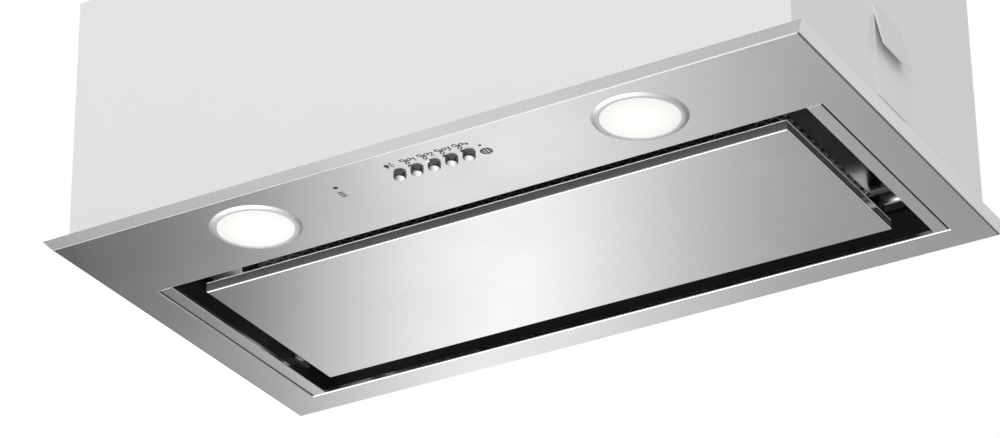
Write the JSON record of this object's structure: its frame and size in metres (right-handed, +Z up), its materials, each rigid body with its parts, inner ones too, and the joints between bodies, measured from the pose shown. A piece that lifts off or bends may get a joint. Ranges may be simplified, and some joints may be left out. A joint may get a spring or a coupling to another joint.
{
  "type": "built-in range hood",
  "caption": "Built-in range hood with a stainless face, two round lamps, a row of push buttons, a hinged perimeter-extraction panel, grease filter, blower and duct outlet.",
  "frame": {"origin": "middle of the plane that bears on the underside of the cabinet, between the four cabinet screws", "axes": "+X along the width, -Y to the front with the push buttons, +Z up, square to the seating plane"},
  "size_m": [0.542, 0.305, 0.2394],
  "materials": {
    "stainless": "fine brushed, satin",
    "ring_metal": "satin, bright",
    "lens_white": "frosted, translucent",
    "chrome": "polished",
    "zinc_steel": "zinc plated",
    "powder_coat": "white powder coat, satin",
    "aluminium": "mill finish",
    "black_plastic": "fine grained",
    "white_plastic": "smooth",
    "circuit_board": "solder mask",
    "rubber": "matt"
  },
  "bodies": {
    "root": {"face_plate": "stainless", "side_trim_left": "stainless", "side_trim_right": "stainless", "lamp_bezel_left": "ring_metal", "lamp_bezel_right": "ring_metal", "lamp_lens_left": "lens_white", "lamp_lens_right": "lens_white", "face_brackets": "zinc_steel", "face_screws": "zinc_steel", "button_springs": "zinc_steel", "control_screws": "zinc_steel", "hinge_brackets": "zinc_steel", "hinge_pins": "zinc_steel", "panel_catches": "zinc_steel", "latch_spring": "zinc_steel", "lid_screws": "zinc_steel", "blower_screws": "zinc_steel", "motor": "zinc_steel", "motor_bracket": "zinc_steel", "damper_pin": "zinc_steel", "housing_shell": "powder_coat", "housing_lid": "powder_coat", "cabinet_clips": "powder_coat", "lamp_cup_left": "aluminium", "lamp_cup_right": "aluminium", "filter_frame": "aluminium", "filter_mesh": "aluminium", "button_carrier": "black_plastic", "control_cover": "black_plastic", "intake_frame": "black_plastic", "terminal_box": "black_plastic", "terminal_lid": "black_plastic", "cable_gland": "black_plastic", "scroll_left": "black_plastic", "scroll_right": "black_plastic", "duct_collar": "black_plastic", "lamp_board_left": "white_plastic", "lamp_board_right": "white_plastic", "indicator_lights": "white_plastic", "led_driver": "white_plastic", "capacitor": "white_plastic", "switch_board": "circuit_board", "rim_seal": "rubber", "motor_bushes": "rubber", "outlet_seal": "rubber", "lamp_leads": "rubber", "motor_lead": "rubber"},
    "panel": {"perimeter_panel": "stainless", "panel_frame": "black_plastic"},
    "rotor": {"impeller": "black_plastic", "motor_shaft": "zinc_steel"},
    "flap_left": {"flap_left": "black_plastic"},
    "flap_right": {"flap_right": "black_plastic"},
    "latch": {"filter_latch": "black_plastic"},
    "button_light": {"button_light": "chrome"},
    "button_fan_1": {"button_fan_1": "chrome"},
    "button_fan_2": {"button_fan_2": "chrome"},
    "button_fan_3": {"button_fan_3": "chrome"},
    "button_boost": {"button_boost": "chrome"}
  },
  "joints": [
    {"name": "panel_swing", "type": "hinge", "parent": "root", "child": "panel", "pos_m": [0, 0.094, 0.0115], "axis": [1, 0, 0], "range_deg": [0, 90]},
    {"name": "impeller_spin", "type": "hinge", "parent": "root", "child": "rotor", "pos_m": [0, -0.046, 0.112], "axis": [1, 0, 0], "continuous": true},
    {"name": "flap_left_lift", "type": "hinge", "parent": "root", "child": "flap_left", "pos_m": [0, 0.00358, 0.195], "axis": [0, 1, 0], "range_deg": [0, 75]},
    {"name": "flap_right_lift", "type": "hinge", "parent": "root", "child": "flap_right", "pos_m": [0, 0.00358, 0.195], "axis": [0, -1, 0], "range_deg": [0, 75]},
    {"name": "latch_draw", "type": "slide", "parent": "root", "child": "latch", "axis": [0, 1, 0], "range_m": [0, 0.003], "stiffness_N_per_m": 500, "springref_m": -0.004, "deforming": ["latch_spring"]},
    {"name": "button_light_press", "type": "slide", "parent": "root", "child": "button_light", "axis": [0, 0, 1], "range_m": [0, 0.0015], "stiffness_N_per_m": 400, "springref_m": -0.003, "deforming": ["button_springs"]},
    {"name": "button_fan_1_press", "type": "slide", "parent": "root", "child": "button_fan_1", "axis": [0, 0, 1], "range_m": [0, 0.0015], "stiffness_N_per_m": 400, "springref_m": -0.003, "deforming": ["button_springs"]},
    {"name": "button_fan_2_press", "type": "slide", "parent": "root", "child": "button_fan_2", "axis": [0, 0, 1], "range_m": [0, 0.0015], "stiffness_N_per_m": 400, "springref_m": -0.003, "deforming": ["button_springs"]},
    {"name": "button_fan_3_press", "type": "slide", "parent": "root", "child": "button_fan_3", "axis": [0, 0, 1], "range_m": [0, 0.0015], "stiffness_N_per_m": 400, "springref_m": -0.003, "deforming": ["button_springs"]},
    {"name": "button_boost_press", "type": "slide", "parent": "root", "child": "button_boost", "axis": [0, 0, 1], "range_m": [0, 0.0015], "stiffness_N_per_m": 400, "springref_m": -0.003, "deforming": ["button_springs"]}
  ]
}
